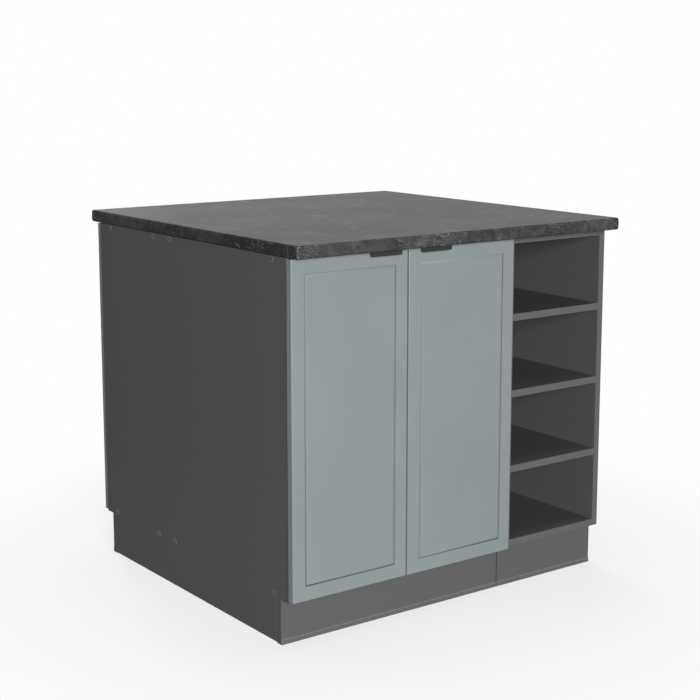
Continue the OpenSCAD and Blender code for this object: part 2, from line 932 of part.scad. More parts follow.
module rear_plinth() {
  color(carcass_colour) rear_row() plinth_board(wide_w);
}

module single_plinth() {
  color(carcass_colour) rear_row() narrow_place() plinth_board(narrow_w);
}

module front_left_door() {
  color(door_colour) front_row() door_leaf(cell_w);
}

module front_right_door() {
  color(door_colour) front_row() second_cell() door_leaf(cell_w);
}

module rear_left_door() {
  color(door_colour) rear_row() door_leaf(cell_w);
}

module rear_right_door() {
  color(door_colour) rear_row() second_cell() door_leaf(cell_w);
}

module single_door() {
  color(door_colour) rear_row() narrow_place() right_hand(narrow_w) door_leaf(narrow_w);
}

module front_left_pull() {
  color(pull_colour) front_row() edge_pull(cell_w);
}

module front_right_pull() {
  color(pull_colour) front_row() second_cell() edge_pull(cell_w);
}

module rear_left_pull() {
  color(pull_colour) rear_row() edge_pull(cell_w);
}

module rear_right_pull() {
  color(pull_colour) rear_row() second_cell() edge_pull(cell_w);
}

module single_pull() {
  color(pull_colour) rear_row() narrow_place() right_hand(narrow_w) edge_pull(narrow_w);
}

module front_left_cups() {
  color(steel_colour) front_row() at_hinges() hinge_cup();
}

module front_right_cups() {
  color(steel_colour) front_row() second_cell() at_hinges() hinge_cup();
}

module rear_left_cups() {
  color(steel_colour) rear_row() at_hinges() hinge_cup();
}

module rear_right_cups() {
  color(steel_colour) rear_row() second_cell() at_hinges() hinge_cup();
}

module single_cups() {
  color(steel_colour) rear_row() narrow_place() right_hand(narrow_w) at_hinges() hinge_cup();
}

module front_left_links() {
  color(steel_colour) front_row() at_hinges() hinge_link();
}

module front_right_links() {
  color(steel_colour) front_row() second_cell() at_hinges() hinge_link();
}

module rear_left_links() {
  color(steel_colour) rear_row() at_hinges() hinge_link();
}

module rear_right_links() {
  color(steel_colour) rear_row() second_cell() at_hinges() hinge_link();
}

module single_links() {
  color(steel_colour) rear_row() narrow_place() right_hand(narrow_w) at_hinges() hinge_link();
}

module hinge_arms() {
  color(steel_colour) every_hinge_cell() at_hinges() hinge_arm();
}

module mounting_plates() {
  color(steel_colour) every_hinge_cell() at_hinges() mounting_plate();
}

module connecting_screws() {
  color(steel_colour) {
    front_row() {
      screws_of_unit(wide_w, front_d, cupboard_levels);
      narrow_place() screws_of_unit(narrow_w, front_d, open_levels);
    }
    rear_row() {
      screws_of_unit(wide_w, rear_d, cupboard_levels);
      narrow_place() screws_of_unit(narrow_w, rear_d, cupboard_levels);
    }
  }
}

module joining_screws() {
  color(steel_colour) {
    front_row() {
      narrow_place() joiners(front_d);
      top_screws(wide_w, front_d);
      narrow_place() top_screws(narrow_w, front_d);
    }
    rear_row() {
      narrow_place() joiners(rear_d);
      top_screws(wide_w, rear_d);
      narrow_place() top_screws(narrow_w, rear_d);
    }
  }
}

module shelf_pins() {
  color(steel_colour) {
    front_row() pins_of_unit(wide_w, front_d);
    rear_row() {
      pins_of_unit(wide_w, rear_d);
      narrow_place() pins_of_unit(narrow_w, rear_d);
    }
  }
}

module glides() {
  color(glide_colour) {
    front_row() {
      glides_of_unit(wide_w, front_d);
      narrow_place() glides_of_unit(narrow_w, front_d);
    }
    rear_row() {
      glides_of_unit(wide_w, rear_d);
      narrow_place() glides_of_unit(narrow_w, rear_d);
    }
  }
}

worktop();
front_left_side();
front_right_side();
front_bottom();
front_fore_rail();
front_aft_rail();
front_back_panel();
front_shelf();
open_left_side();
open_right_side();
open_bottom();
open_top();
open_low_shelf();
open_mid_shelf();
open_high_shelf();
open_back_panel();
rear_left_side();
rear_right_side();
rear_bottom();
rear_fore_rail();
rear_aft_rail();
rear_back_panel();
rear_shelf();
single_left_side();
single_right_side();
single_bottom();
single_fore_rail();
single_aft_rail();
single_back_panel();
single_shelf();
front_plinth();
open_plinth();
rear_plinth();
single_plinth();
front_left_door();
front_right_door();
rear_left_door();
rear_right_door();
single_door();
front_left_pull();
front_right_pull();
rear_left_pull();
rear_right_pull();
single_pull();
front_left_cups();
front_right_cups();
rear_left_cups();
rear_right_cups();
single_cups();
front_left_links();
front_right_links();
rear_left_links();
rear_right_links();
single_links();
hinge_arms();
mounting_plates();
connecting_screws();
joining_screws();
shelf_pins();
glides();
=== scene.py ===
import json
import math

import bmesh
import bpy
from mathutils import Euler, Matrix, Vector


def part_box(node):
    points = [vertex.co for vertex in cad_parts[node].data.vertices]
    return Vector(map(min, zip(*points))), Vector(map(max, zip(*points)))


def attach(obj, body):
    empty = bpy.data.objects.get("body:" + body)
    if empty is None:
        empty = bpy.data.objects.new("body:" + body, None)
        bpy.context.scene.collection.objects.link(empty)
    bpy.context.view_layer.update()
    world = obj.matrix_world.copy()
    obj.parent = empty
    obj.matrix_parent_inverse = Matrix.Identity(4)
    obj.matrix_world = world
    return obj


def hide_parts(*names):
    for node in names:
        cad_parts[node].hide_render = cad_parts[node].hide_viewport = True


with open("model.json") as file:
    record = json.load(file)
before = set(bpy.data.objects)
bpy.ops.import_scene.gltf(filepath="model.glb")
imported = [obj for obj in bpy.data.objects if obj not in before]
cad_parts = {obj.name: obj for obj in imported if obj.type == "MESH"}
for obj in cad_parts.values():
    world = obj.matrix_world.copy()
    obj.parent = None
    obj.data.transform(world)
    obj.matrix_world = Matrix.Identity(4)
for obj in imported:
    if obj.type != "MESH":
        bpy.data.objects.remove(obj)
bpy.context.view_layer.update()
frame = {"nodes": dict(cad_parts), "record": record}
cadNodes = frame["nodes"]
print("frame loaded:", len(cadNodes), "nodes")


def linear(hexColour):
    channels = [int(hexColour[i:i + 2], 16) / 255 for i in (1, 3, 5)]
    return tuple(c / 12.92 if c <= 0.04045 else ((c + 0.055) / 1.055) ** 2.4 for c in channels) + (1.0,)


def setInputs(tree, node, inputs):
    # by name or number, or a plain row from the first one on; another node's socket is linked, a value is set
    for name, value in inputs.items() if isinstance(inputs, dict) else enumerate(inputs):
        if isinstance(value, bpy.types.NodeSocket):
            tree.links.new(value, node.inputs[name])
        else:
            node.inputs[name].default_value = value


def addNode(tree, kind, inputs=(), **settings):
    node = tree.nodes.new("ShaderNode" + kind)
    for name, value in settings.items():
        setattr(node, name, value)
    setInputs(tree, node, inputs)
    return node


cameraSetup = {
    "place": (-2.0917, -2.8584, 1.2130),
    "turnedRight": 36.248,   # degrees from straight ahead at the front
    "tilted": 9.497,         # degrees down
    "lens": 76.97,
    "sensorWidth": 36.0,
    "shiftY": -0.06,
}


def makeCamera():
    data = bpy.data.cameras.new("camera")
    data.lens = cameraSetup["lens"]
    data.sensor_width = cameraSetup["sensorWidth"]
    data.shift_y = cameraSetup["shiftY"]
    camera = bpy.data.objects.new("camera", data)
    bpy.context.scene.collection.objects.link(camera)
    camera.location = cameraSetup["place"]
    camera.rotation_euler = Euler((
        math.radians(90 - cameraSetup["tilted"]), 0, math.radians(-cameraSetup["turnedRight"])))
    bpy.context.scene.camera = camera


lightSetup = {
    # colour and strength
    "ambient": ("#ffffff", 0.17),
    "backdrop": ("#ffffff", 1.0),
    # place, aim, side in metres, watts
    "panels": {
        "key": ((-3.534, -8.128, 2.013), (0.0, 0.0, 0.45), 3.2, 1150),
        "rear": ((1.715, 8.823, 0.921), (0.0, 0.0, 0.45), 2.6, 800),
        "behind": ((3.4, 5.0, 3.2), (0.0, 0.0, 0.7), 6, 88),
        "overhead": ((0.0, 0.0, 4.5), (0.0, 0.0, 0.85), 3.0, 75),
    },
}


def makeLights():
    # the camera sees a white backdrop, and everything else sees the dim room
    world = bpy.data.worlds.new("studio")
    world.use_nodes = True
    tree = world.node_tree
    room = tree.nodes["Background"]
    colour, strength = lightSetup["ambient"]
    setInputs(tree, room, {"Color": linear(colour), "Strength": strength})
    colour, strength = lightSetup["backdrop"]
    backdrop = addNode(tree, "Background", {"Color": linear(colour), "Strength": strength})
    seen = addNode(tree, "LightPath").outputs["Is Camera Ray"]
    mix = addNode(tree, "MixShader", (seen, room.outputs[0], backdrop.outputs[0]))
    tree.links.new(mix.outputs[0], tree.nodes["World Output"].inputs["Surface"])
    bpy.context.scene.world = world
    for name, (place, aim, side, watts) in lightSetup["panels"].items():
        data = bpy.data.lights.new(name, "AREA")
        data.size = side
        data.energy = watts
        light = bpy.data.objects.new(name, data)
        bpy.context.scene.collection.objects.link(light)
        light.location = place
        light.rotation_euler = (Vector(aim) - Vector(place)).to_track_quat("-Z", "Y").to_euler()


# settings that many nodes share; a Mix node of colours takes them in its inputs 6 and 7 and gives output 2
smooth = {"interpolation_type": "SMOOTHSTEP"}
ofColours = {"data_type": "RGBA"}


def startMaterial(name, shaderValues):
    # a new material with its tree and shader, and the place on the piece in millimetres
    material = bpy.data.materials.new(name)
    material.use_nodes = True
    tree = material.node_tree
    shader = tree.nodes["Principled BSDF"]
    setInputs(tree, shader, {"IOR": 1.5, **shaderValues})
    place = addNode(tree, "TexCoord").outputs["Object"]
    mm = addNode(tree, "VectorMath", {0: place, "Scale": 1000.0}, operation="SCALE").outputs[0]
    return material, tree, shader, mm


def cloudedColour(tree, place, setup):
    # two close tones in soft clouds; gives the clouds too, for the roughness and the bump
    cloud = addNode(tree, "TexNoise", {"Vector": place, **setup["clouds"]}).outputs["Fac"]
    first, second = (linear(tone) for tone in setup["tones"])
    return cloud, addNode(tree, "Mix", {0: cloud, 6: first, 7: second}, **ofColours).outputs[2]


slateSetup = {
    "shader": {"Roughness": 0.5, "Specular IOR Level": 0.45},
    # the tones of the clouds, and where each stands in them
    "tones": ((0.33, "#1b1c1c"), (0.5, "#292a2a"), (0.66, "#393a3a")),
    "warm": "#353430", "spot": "#525354", "vein": "#646565", "pit": "#0f1010", "fleck": "#93928d",
    "backing": "#5b544b",
    # the patterns; a scale is one over the pattern's size in millimetres
    "warp": {"Scale": 1 / 60, "Detail": 4.0},
    "clouds": {"Scale": 1 / 190, "Detail": 3.0, "Roughness": 0.5},
    "mottle": {"Scale": 1 / 17, "Detail": 4.0, "Roughness": 0.6},
    "tint": {"Scale": 1 / 110, "Detail": 2.0},
    "spots": {"Scale": 1 / 40, "Detail": 3.0, "Roughness": 0.5},
    "cells": {"Scale": 1 / 66},
    "breaks": {"Scale": 1 / 30, "Detail": 3.0},
    "specks": {"Scale": 1 / 2.8, "Detail": 2.0, "Roughness": 0.55},
    "grain": {"Scale": 1 / 0.7, "Detail": 2.0},
    "warpedByMm": (50.0, 50.0, 50.0), "veinMm": 1.0, "grainDeepMm": 0.04,
    # where a pattern starts and is full in its noise
    "warmFrom": (0.52, 0.7), "spotFrom": (0.55, 0.8), "breakFrom": (0.48, 0.62),
    "pitFrom": (0.46, 0.32), "fleckFrom": (0.57, 0.72),
    # a pattern's share on the top and on the edges
    "mottleShare": {"To Min": 0.15, "To Max": 1.0},
    "spotShare": {"To Min": 1.0, "To Max": 0.3},
    "veinShare": {"To Min": 0.45, "To Max": 1.0},
    # the roughness from pits to heights, and how much duller the bent edges are
    "roughness": {"To Min": 0.56, "To Max": 0.46}, "edgeRoughness": 0.2,
    # heights above the floor between which the edge starts and the bare underside starts
    "edgeMm": (847.7, 846.7), "backingMm": (820.15, 820.05),
    # middles and radii of the crystal clusters along the edges, in millimetres
    "clusters": (((-85, -445, 834), 75), ((-180, -445, 838), 30), ((-425, -445, 834), 55),
                 ((-452, -300, 834), 60), ((250, -445, 834), 35), ((452, 120, 834), 70),
                 ((60, 445, 834), 80)),
    "clusterFade": 1.2, "strayCrystals": 0.1,
}


def makeSlateLaminate():
    # high-pressure laminate printed as slate: a quiet clouded top with soft pale spots, and edges that show
    # thin curved veins and clusters of pale crystals, all under a fine matt skin
    s = slateSetup
    material, tree, shader, mm = startMaterial("slateLaminate", s["shader"])
    height = addNode(tree, "SeparateXYZ", (mm,)).outputs["Z"]
    edge = addNode(tree, "MapRange", (height, *s["edgeMm"]), **smooth).outputs[0]
    warp = addNode(tree, "TexNoise", {"Vector": mm, **s["warp"]}).outputs["Color"]
    warped = addNode(tree, "VectorMath", (warp, s["warpedByMm"], mm), operation="MULTIPLY_ADD").outputs[0]
    clouds = addNode(tree, "TexNoise", {"Vector": warped, **s["clouds"]}).outputs["Fac"]
    mottle = addNode(tree, "TexNoise", {"Vector": mm, **s["mottle"]}).outputs["Fac"]
    centred = addNode(tree, "Math", (mottle, 0.5), operation="SUBTRACT").outputs[0]
    share = addNode(tree, "MapRange", {"Value": edge, **s["mottleShare"]}).outputs[0]
    blend = addNode(tree, "Math", (centred, share, clouds), operation="MULTIPLY_ADD").outputs[0]
    ramp = addNode(tree, "ValToRGB", (blend,))
    ramp.color_ramp.elements.new(0.5)
    for element, (position, tone) in zip(ramp.color_ramp.elements, s["tones"]):
        element.position = position
        element.color = linear(tone)

    tint = addNode(tree, "TexNoise", {"Vector": mm, **s["tint"]}).outputs["Fac"]
    warm = addNode(tree, "MapRange", (tint, *s["warmFrom"]), **smooth).outputs[0]
    spots = addNode(tree, "TexNoise", {"Vector": warped, **s["spots"]}).outputs["Fac"]
    spots = addNode(tree, "MapRange", (spots, *s["spotFrom"]), **smooth).outputs[0]
    share = addNode(tree, "MapRange", {"Value": edge, **s["spotShare"]}).outputs[0]
    spot = addNode(tree, "Math", (spots, share), operation="MULTIPLY").outputs[0]

    # thin curved veins along the borders of large cells, broken where the noise is low
    border = addNode(tree, "TexVoronoi", {"Vector": warped, **s["cells"]}, feature="DISTANCE_TO_EDGE")
    wide = s["veinMm"] * s["cells"]["Scale"]
    line = addNode(tree, "MapRange", (border.outputs["Distance"], wide, 0.0), **smooth).outputs[0]
    breaks = addNode(tree, "TexNoise", {"Vector": mm, **s["breaks"]}).outputs["Fac"]
    breaks = addNode(tree, "MapRange", (breaks, *s["breakFrom"]), **smooth).outputs[0]
    share = addNode(tree, "MapRange", {"Value": edge, **s["veinShare"]}).outputs[0]
    vein = addNode(tree, "Math", (line, breaks), operation="MULTIPLY").outputs[0]
    vein = addNode(tree, "Math", (vein, share), operation="MULTIPLY").outputs[0]

    # crystals gather in a few clusters on the edges and are rare elsewhere
    cluster = s["strayCrystals"]
    for place, radius in s["clusters"]:
        away = addNode(tree, "VectorMath", (mm, place), operation="DISTANCE").outputs["Value"]
        near = addNode(tree, "MapRange", (away, radius * s["clusterFade"], 0.0), **smooth).outputs[0]
        cluster = addNode(tree, "Math", (cluster, near), operation="MAXIMUM").outputs[0]
    cluster = addNode(tree, "Math", (cluster, edge), operation="MULTIPLY").outputs[0]
    specks = addNode(tree, "TexNoise", {"Vector": mm, **s["specks"]}).outputs["Fac"]
    pit = addNode(tree, "MapRange", (specks, *s["pitFrom"]), **smooth).outputs[0]
    pit = addNode(tree, "Math", (pit, cluster), operation="MULTIPLY").outputs[0]
    fleck = addNode(tree, "MapRange", (specks, *s["fleckFrom"]), **smooth).outputs[0]
    fleck = addNode(tree, "Math", (fleck, cluster), operation="MULTIPLY").outputs[0]

    # the underside is bare backing paper
    below = addNode(tree, "MapRange", (height, *s["backingMm"]), **smooth).outputs[0]
    colour = ramp.outputs["Color"]
    for amount, tone in ((warm, "warm"), (spot, "spot"), (vein, "vein"), (pit, "pit"), (fleck, "fleck"),
                         (below, "backing")):
        colour = addNode(tree, "Mix", {0: amount, 6: colour, 7: linear(s[tone])}, **ofColours).outputs[2]
    rough = addNode(tree, "MapRange", {"Value": mottle, **s["roughness"]}).outputs[0]
    rough = addNode(tree, "Math", (edge, s["edgeRoughness"], rough), operation="MULTIPLY_ADD").outputs[0]
    grain = addNode(tree, "TexNoise", {"Vector": mm, **s["grain"]}).outputs["Fac"]
    bump = addNode(tree, "Bump", {"Height": grain, "Distance": s["grainDeepMm"] / 1000}).outputs[0]
    setInputs(tree, shader, {"Base Color": colour, "Roughness": rough, "Normal": bump})
    return material


melamineSetup = {
    "shader": {"Roughness": 0.6, "Specular IOR Level": 0.3},
    "face": "#515151", "fleck": "#4e4e4e", "band": "#535353", "shade": "#2b2c2c",
    "pearl": {"Scale": 1 / 0.9, "Detail": 2.0, "Roughness": 0.5}, "pearlDeepMm": 0.03,
    "faceFrom": (0.35, 0.65), "roughness": {"To Min": 0.58, "To Max": 0.7},
    "bandMm": (399.5, 399.6),   # how far out, to the front or the rear, the edging starts
}


def makeGraphiteMelamine():
    # melamine-faced chipboard pressed on a pearl-textured plate: an even grey with a faint silky grain, and
    # edging to match
    s = melamineSetup
    material, tree, shader, mm = startMaterial("graphiteMelamine", s["shader"])
    pearl = addNode(tree, "TexNoise", {"Vector": mm, **s["pearl"]}).outputs["Fac"]
    face = addNode(tree, "MapRange", (pearl, *s["faceFrom"]), **smooth).outputs[0]
    depth = addNode(tree, "SeparateXYZ", (mm,)).outputs["Y"]
    outward = addNode(tree, "Math", (depth,), operation="ABSOLUTE").outputs[0]
    band = addNode(tree, "MapRange", (outward, *s["bandMm"]), **smooth).outputs[0]
    # the shade values mark narrow strips painted dark as shadow: the edging beside a door and the plinths'
    # joints
    shade = addNode(tree, "Attribute", attribute_name="shade").outputs["Fac"]
    colour = linear(s["fleck"])
    for amount, tone in ((face, "face"), (band, "band"), (shade, "shade")):
        colour = addNode(tree, "Mix", {0: amount, 6: colour, 7: linear(s[tone])}, **ofColours).outputs[2]
    rough = addNode(tree, "MapRange", {"Value": pearl, **s["roughness"]}).outputs[0]
    bump = addNode(tree, "Bump", {"Height": pearl, "Distance": s["pearlDeepMm"] / 1000}).outputs[0]
    setInputs(tree, shader, {"Base Color": colour, "Roughness": rough, "Normal": bump})
    return material


filmSetup = {
    "shader": {"Roughness": 0.46},
    # the crease tone is painted shade, laid over the crease round the panel
    "front": "#777f80", "cloud": "#757d7e", "back": "#b9bbba", "crease": "#2c3233",
    "clouds": {"Scale": 1 / 210, "Detail": 2.0}, "cloudFrom": (0.35, 0.65),
    "peel": {"Scale": 1 / 2.4, "Detail": 2.0}, "peelDeepMm": 0.02,
    "backMm": (402.3, 402.2),   # how far out, to the front or the rear, the film ends
}


def makeMattFilm():
    # matt film drawn over routed fibreboard: soft grey-green with a faint orange peel, painted shade down
    # in the crease, and a pale melamine back
    s = filmSetup
    material, tree, shader, mm = startMaterial("mattFilm", s["shader"])
    clouds = addNode(tree, "TexNoise", {"Vector": mm, **s["clouds"]}).outputs["Fac"]
    cloud = addNode(tree, "MapRange", (clouds, *s["cloudFrom"]), **smooth).outputs[0]
    depth = addNode(tree, "SeparateXYZ", (mm,)).outputs["Y"]
    outward = addNode(tree, "Math", (depth,), operation="ABSOLUTE").outputs[0]
    back = addNode(tree, "MapRange", (outward, *s["backMm"]), **smooth).outputs[0]
    shade = addNode(tree, "Attribute", attribute_name="shade").outputs["Fac"]
    colour = linear(s["front"])
    # the last tone is the painted shade in the crease
    for amount, tone in ((cloud, "cloud"), (back, "back"), (shade, "crease")):
        colour = addNode(tree, "Mix", {0: amount, 6: colour, 7: linear(s[tone])}, **ofColours).outputs[2]
    peel = addNode(tree, "TexNoise", {"Vector": mm, **s["peel"]}).outputs["Fac"]
    bump = addNode(tree, "Bump", {"Height": peel, "Distance": s["peelDeepMm"] / 1000}).outputs[0]
    setInputs(tree, shader, {"Base Color": colour, "Normal": bump})
    return material


hardboardSetup = {
    "shader": {"Roughness": 0.7},
    "tones": ("#474848", "#4e4f4f"), "clouds": {"Scale": 1 / 1.2, "Detail": 3.0},
    "stretch": (1.0, 1.0, 0.35), "fibreDeepMm": 0.05,
}


def makePaintedHardboard():
    # thin hardboard with a thin coat of dark grey paint: dull, with short fibres telegraphing through
    s = hardboardSetup
    material, tree, shader, mm = startMaterial("paintedHardboard", s["shader"])
    along = addNode(tree, "Mapping", {"Vector": mm, "Scale": s["stretch"]}).outputs["Vector"]
    fibre, colour = cloudedColour(tree, along, s)
    bump = addNode(tree, "Bump", {"Height": fibre, "Distance": s["fibreDeepMm"] / 1000}).outputs[0]
    setInputs(tree, shader, {"Base Color": colour, "Normal": bump})
    return material


anodisedSetup = {
    "shader": {"Roughness": 0.4, "Metallic": 0.6},
    "tones": ("#3a3e3e", "#454949"), "clouds": {"Scale": 1 / 0.4, "Detail": 2.0},
    "stretch": (0.02, 1.0, 1.0), "roughness": {"To Min": 0.34, "To Max": 0.46},
}


def makeBlackAnodised():
    # black anodised aluminium: a dark satin skin with the fine lines of its extrusion
    s = anodisedSetup
    material, tree, shader, mm = startMaterial("blackAnodised", s["shader"])
    along = addNode(tree, "Mapping", {"Vector": mm, "Scale": s["stretch"]}).outputs["Vector"]
    line, colour = cloudedColour(tree, along, s)
    rough = addNode(tree, "MapRange", {"Value": line, **s["roughness"]}).outputs[0]
    setInputs(tree, shader, {"Base Color": colour, "Roughness": rough})
    return material


nickelSetup = {
    "shader": {"Roughness": 0.36, "Metallic": 0.85},
    "tones": ("#cecbc5", "#dcd9d3"), "clouds": {"Scale": 1 / 6, "Detail": 3.0},
    "roughness": {"To Min": 0.3, "To Max": 0.44},
}


def makeNickelPlate():
    # nickel-plated pressed steel: bright, faintly warm, with a soft roll mark
    s = nickelSetup
    material, tree, shader, mm = startMaterial("nickelPlate", s["shader"])
    cloud, colour = cloudedColour(tree, mm, s)
    rough = addNode(tree, "MapRange", {"Value": cloud, **s["roughness"]}).outputs[0]
    setInputs(tree, shader, {"Base Color": colour, "Roughness": rough})
    return material


zincSetup = {
    "shader": {"Roughness": 0.45, "Metallic": 0.85},
    "tones": ("#a9adb2", "#b9bcc0"), "clouds": {"Scale": 1 / 3, "Detail": 2.0},
}


def makeZincPlate():
    # zinc-plated steel: cool grey, duller than nickel
    material, tree, shader, mm = startMaterial("zincPlate", zincSetup["shader"])
    _, colour = cloudedColour(tree, mm, zincSetup)
    setInputs(tree, shader, {"Base Color": colour})
    return material


glidePlasticSetup = {
    "shader": {"Roughness": 0.5},
    "tones": ("#878989", "#929494"), "clouds": {"Scale": 1 / 4, "Detail": 3.0}, "marksDeepMm": 0.02,
}


def makeGreyPlastic():
    # moulded polypropylene: a pale grey with a low sheen and faint flow marks
    s = glidePlasticSetup
    material, tree, shader, mm = startMaterial("greyPlastic", s["shader"])
    cloud, colour = cloudedColour(tree, mm, s)
    bump = addNode(tree, "Bump", {"Height": cloud, "Distance": s["marksDeepMm"] / 1000}).outputs[0]
    setInputs(tree, shader, {"Base Color": colour, "Normal": bump})
    return material


capPlasticSetup = {
    "shader": {"Roughness": 0.45},
    # the dish tone is painted shade in the cap's hollow
    "tones": ("#5c5c5c", "#626262"), "dishShade": "#4a4a4a",
    "clouds": {"Scale": 1 / 3, "Detail": 2.0}, "marksDeepMm": 0.02,
}


def makeGraphitePlastic():
    # moulded caps coloured to match the boards: the raised rim is a little paler than the dished middle,
    # which is painted darker as shade in the hollow
    s = capPlasticSetup
    material, tree, shader, mm = startMaterial("graphitePlastic", s["shader"])
    cloud, rim = cloudedColour(tree, mm, s)
    shade = addNode(tree, "Attribute", attribute_name="shade").outputs["Fac"]
    colour = addNode(tree, "Mix", {0: shade, 6: rim, 7: linear(s["dishShade"])}, **ofColours).outputs[2]
    bump = addNode(tree, "Bump", {"Height": cloud, "Distance": s["marksDeepMm"] / 1000}).outputs[0]
    setInputs(tree, shader, {"Base Color": colour, "Normal": bump})
    return material


sealVinylSetup = {
    "shader": {"Roughness": 0.38},
    "tones": ("#505151", "#555656"), "beadAndHighlight": "#656666",
    "clouds": {"Scale": 1 / 5, "Detail": 2.0}, "marksDeepMm": 0.02,
    "beadMm": (7.6, 8.4),   # how high above the floor the bead starts
}


def makeSealVinyl():
    # co-extruded vinyl seal: smoky grey with a satin skin; its soft bead is a paler vinyl than the clip
    # below, made paler still by a painted highlight
    s = sealVinylSetup
    material, tree, shader, mm = startMaterial("sealVinyl", s["shader"])
    height = addNode(tree, "SeparateXYZ", (mm,)).outputs["Z"]
    cloud, clip = cloudedColour(tree, mm, s)
    # the bead's paler tone is partly its own vinyl and partly a painted highlight where the bead catches the
    # light
    beadAndHighlight = addNode(tree, "MapRange", (height, *s["beadMm"]), **smooth).outputs[0]
    colour = addNode(tree, "Mix", {0: beadAndHighlight, 6: clip, 7: linear(s["beadAndHighlight"])}, **ofColours).outputs[2]
    bump = addNode(tree, "Bump", {"Height": cloud, "Distance": s["marksDeepMm"] / 1000}).outputs[0]
    setInputs(tree, shader, {"Base Color": colour, "Normal": bump})
    return material


bumperPlasticSetup = {
    "shader": {"Roughness": 0.12, "IOR": 1.47, "Transmission Weight": 0.6},
    "tones": ("#e4e6e6", "#eef0f0"), "clouds": {"Scale": 1 / 3, "Detail": 2.0},
}


def makeClearBumper():
    # soft clear polyurethane: milky, glossy and slightly see-through
    material, tree, shader, mm = startMaterial("clearPolyurethane", bumperPlasticSetup["shader"])
    _, colour = cloudedColour(tree, mm, bumperPlasticSetup)
    setInputs(tree, shader, {"Base Color": colour})
    return material


floorSetup = {
    "shader": {"Roughness": 0.9},
    "radius": 1.8, "segments": 96,
    "tones": ("#e6e6e5", "#e3e3e2"), "clouds": {"Scale": 1 / 900, "Detail": 2.0},
    "fadeMm": (1350.0, 600.0), "opacity": 0.3,   # gone at the first distance, full within the second
}


def makeFloorPaint():
    # matt pale floor that fades into the white backdrop, only there to take the shadow
    s = floorSetup
    material, tree, shader, mm = startMaterial("paleFloor", s["shader"])
    _, colour = cloudedColour(tree, mm, s)
    away = addNode(tree, "VectorMath", (mm,), operation="LENGTH").outputs["Value"]
    inside = addNode(tree, "MapRange", (away, *s["fadeMm"]), **smooth).outputs[0]
    fade = addNode(tree, "Math", (inside, s["opacity"]), operation="MULTIPLY").outputs[0]
    setInputs(tree, shader, {"Base Color": colour, "Alpha": fade})
    return material


def makeFloor():
    bm = bmesh.new()
    bmesh.ops.create_circle(bm, cap_ends=True, radius=floorSetup["radius"], segments=floorSetup["segments"])
    mesh = bpy.data.meshes.new("floor")
    bm.to_mesh(mesh)
    bm.free()
    floor = bpy.data.objects.new("floor", mesh)
    bpy.context.scene.collection.objects.link(floor)
    mesh.materials.append(makeFloorPaint())
    floor.visible_diffuse = False   # no light comes back from the floor


bpy.context.scene.view_settings.view_transform = "Standard"
makeCamera()
makeLights()
makeFloor()
print("camera, lights and floor are set")

finishes = {
    "worktop": makeSlateLaminate(),
    "carcass": makeGraphiteMelamine(),
    "door": makeMattFilm(),
    "back": makePaintedHardboard(),
    "pull": makeBlackAnodised(),
    "hinge": makeNickelPlate(),
    "fastener": makeZincPlate(),
    "glide": makeGreyPlastic(),
    "caps": makeGraphitePlastic(),
    "bumpers": makeClearBumper(),
    "seals": makeSealVinyl(),
}
print("materials made:", len(finishes))

slotOfNode = {s["node"]: s["material_slot"] for s in frame["record"]["subparts"]}
bodyOfNode = {n: body for body, names in frame["record"]["behaviour"]["bodies"].items() for n in names}
for name, node in cadNodes.items():
    node.data.materials.clear()
    node.data.materials.append(finishes[slotOfNode[name]])
print("CAD nodes dressed")


meshSetup = {
    # eased edges in millimetres by material slot; 0 leaves the edges as they are
    "ease": {"worktop": 0.0, "carcass": 0.3, "door": 0.0, "back": 0.15, "pull": 0.2,
             "hinge": 0.12, "fastener": 0.1, "glide": 0.0},
    "easeSegments": 2,
    # in degrees: faces flatter than this are one face, and edges over these stay sharp
    "flat": 0.5, "sharp": 32, "sharpWhereRound": 50,
    # in metres: vertices this near are one, in a solid and in a new piece
    "joined": 2e-6, "welded": 1e-6,
    # how far off a cutting plane, a plane or a side still counts as on it
    "onCut": 1e-6, "onPlane": 1e-5, "onSide": 1e-4,
}


def meshOf(bm, name, sharpDegrees):
    mesh = bpy.data.meshes.new(name)
    bm.to_mesh(mesh)
    bm.free()
    mesh.shade_smooth()
    mesh.set_sharp_from_angle(angle=math.radians(sharpDegrees))
    return mesh


def finishMesh(bm, name, easeMm, markFaces):
    # a solid's broken triangles become whole faces, its sharp edges are eased and its curves shaded smooth
    m = meshSetup
    bmesh.ops.remove_doubles(bm, verts=bm.verts, dist=m["joined"])
    bmesh.ops.dissolve_limit(bm, angle_limit=math.radians(m["flat"]), verts=bm.verts, edges=bm.edges)
    if easeMm:
        sharp = [e for e in bm.edges if e.is_manifold and e.calc_face_angle() > math.radians(m["sharp"])]
        bmesh.ops.bevel(bm, geom=sharp, offset=easeMm / 1000, offset_type="OFFSET", affect="EDGES",
                        segments=m["easeSegments"], profile=0.5, material=-1, clamp_overlap=True)
    if markFaces:
        markFaces(bm)
    return meshOf(bm, name, m["sharpWhereRound"] if easeMm else m["sharp"])


def addPiece(name, mesh, body, slot, replaced=(), finish=None):
    piece = bpy.data.objects.new(name, mesh)
    bpy.context.scene.collection.objects.link(piece)
    mesh.materials.append(finishes[finish or slot])
    flatten = piece.modifiers.new("flatFacesFirst", "WEIGHTED_NORMAL")
    flatten.keep_sharp = True
    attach(piece, body)
    if replaced:
        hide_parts(*replaced)


# painted shade in the film's crease round a door's panel, darkest on the left, lighter at the bottom and none
# on the right or at the top; each side is named as seen from the door's front
creaseSetup = {
    "frameMm": (30.9, 41.5), "frontMm": 418.0,   # the crease lies this far in from the door's edges
    # how dark the painted shade is, and the depths in millimetres where it starts and is full
    "left": (0.95, 0.5, 1.0), "right": (0.0, 0.8, 1.2), "bottom": (0.45, 0.7, 1.2), "top": (0.0, 0.8, 1.2),
}


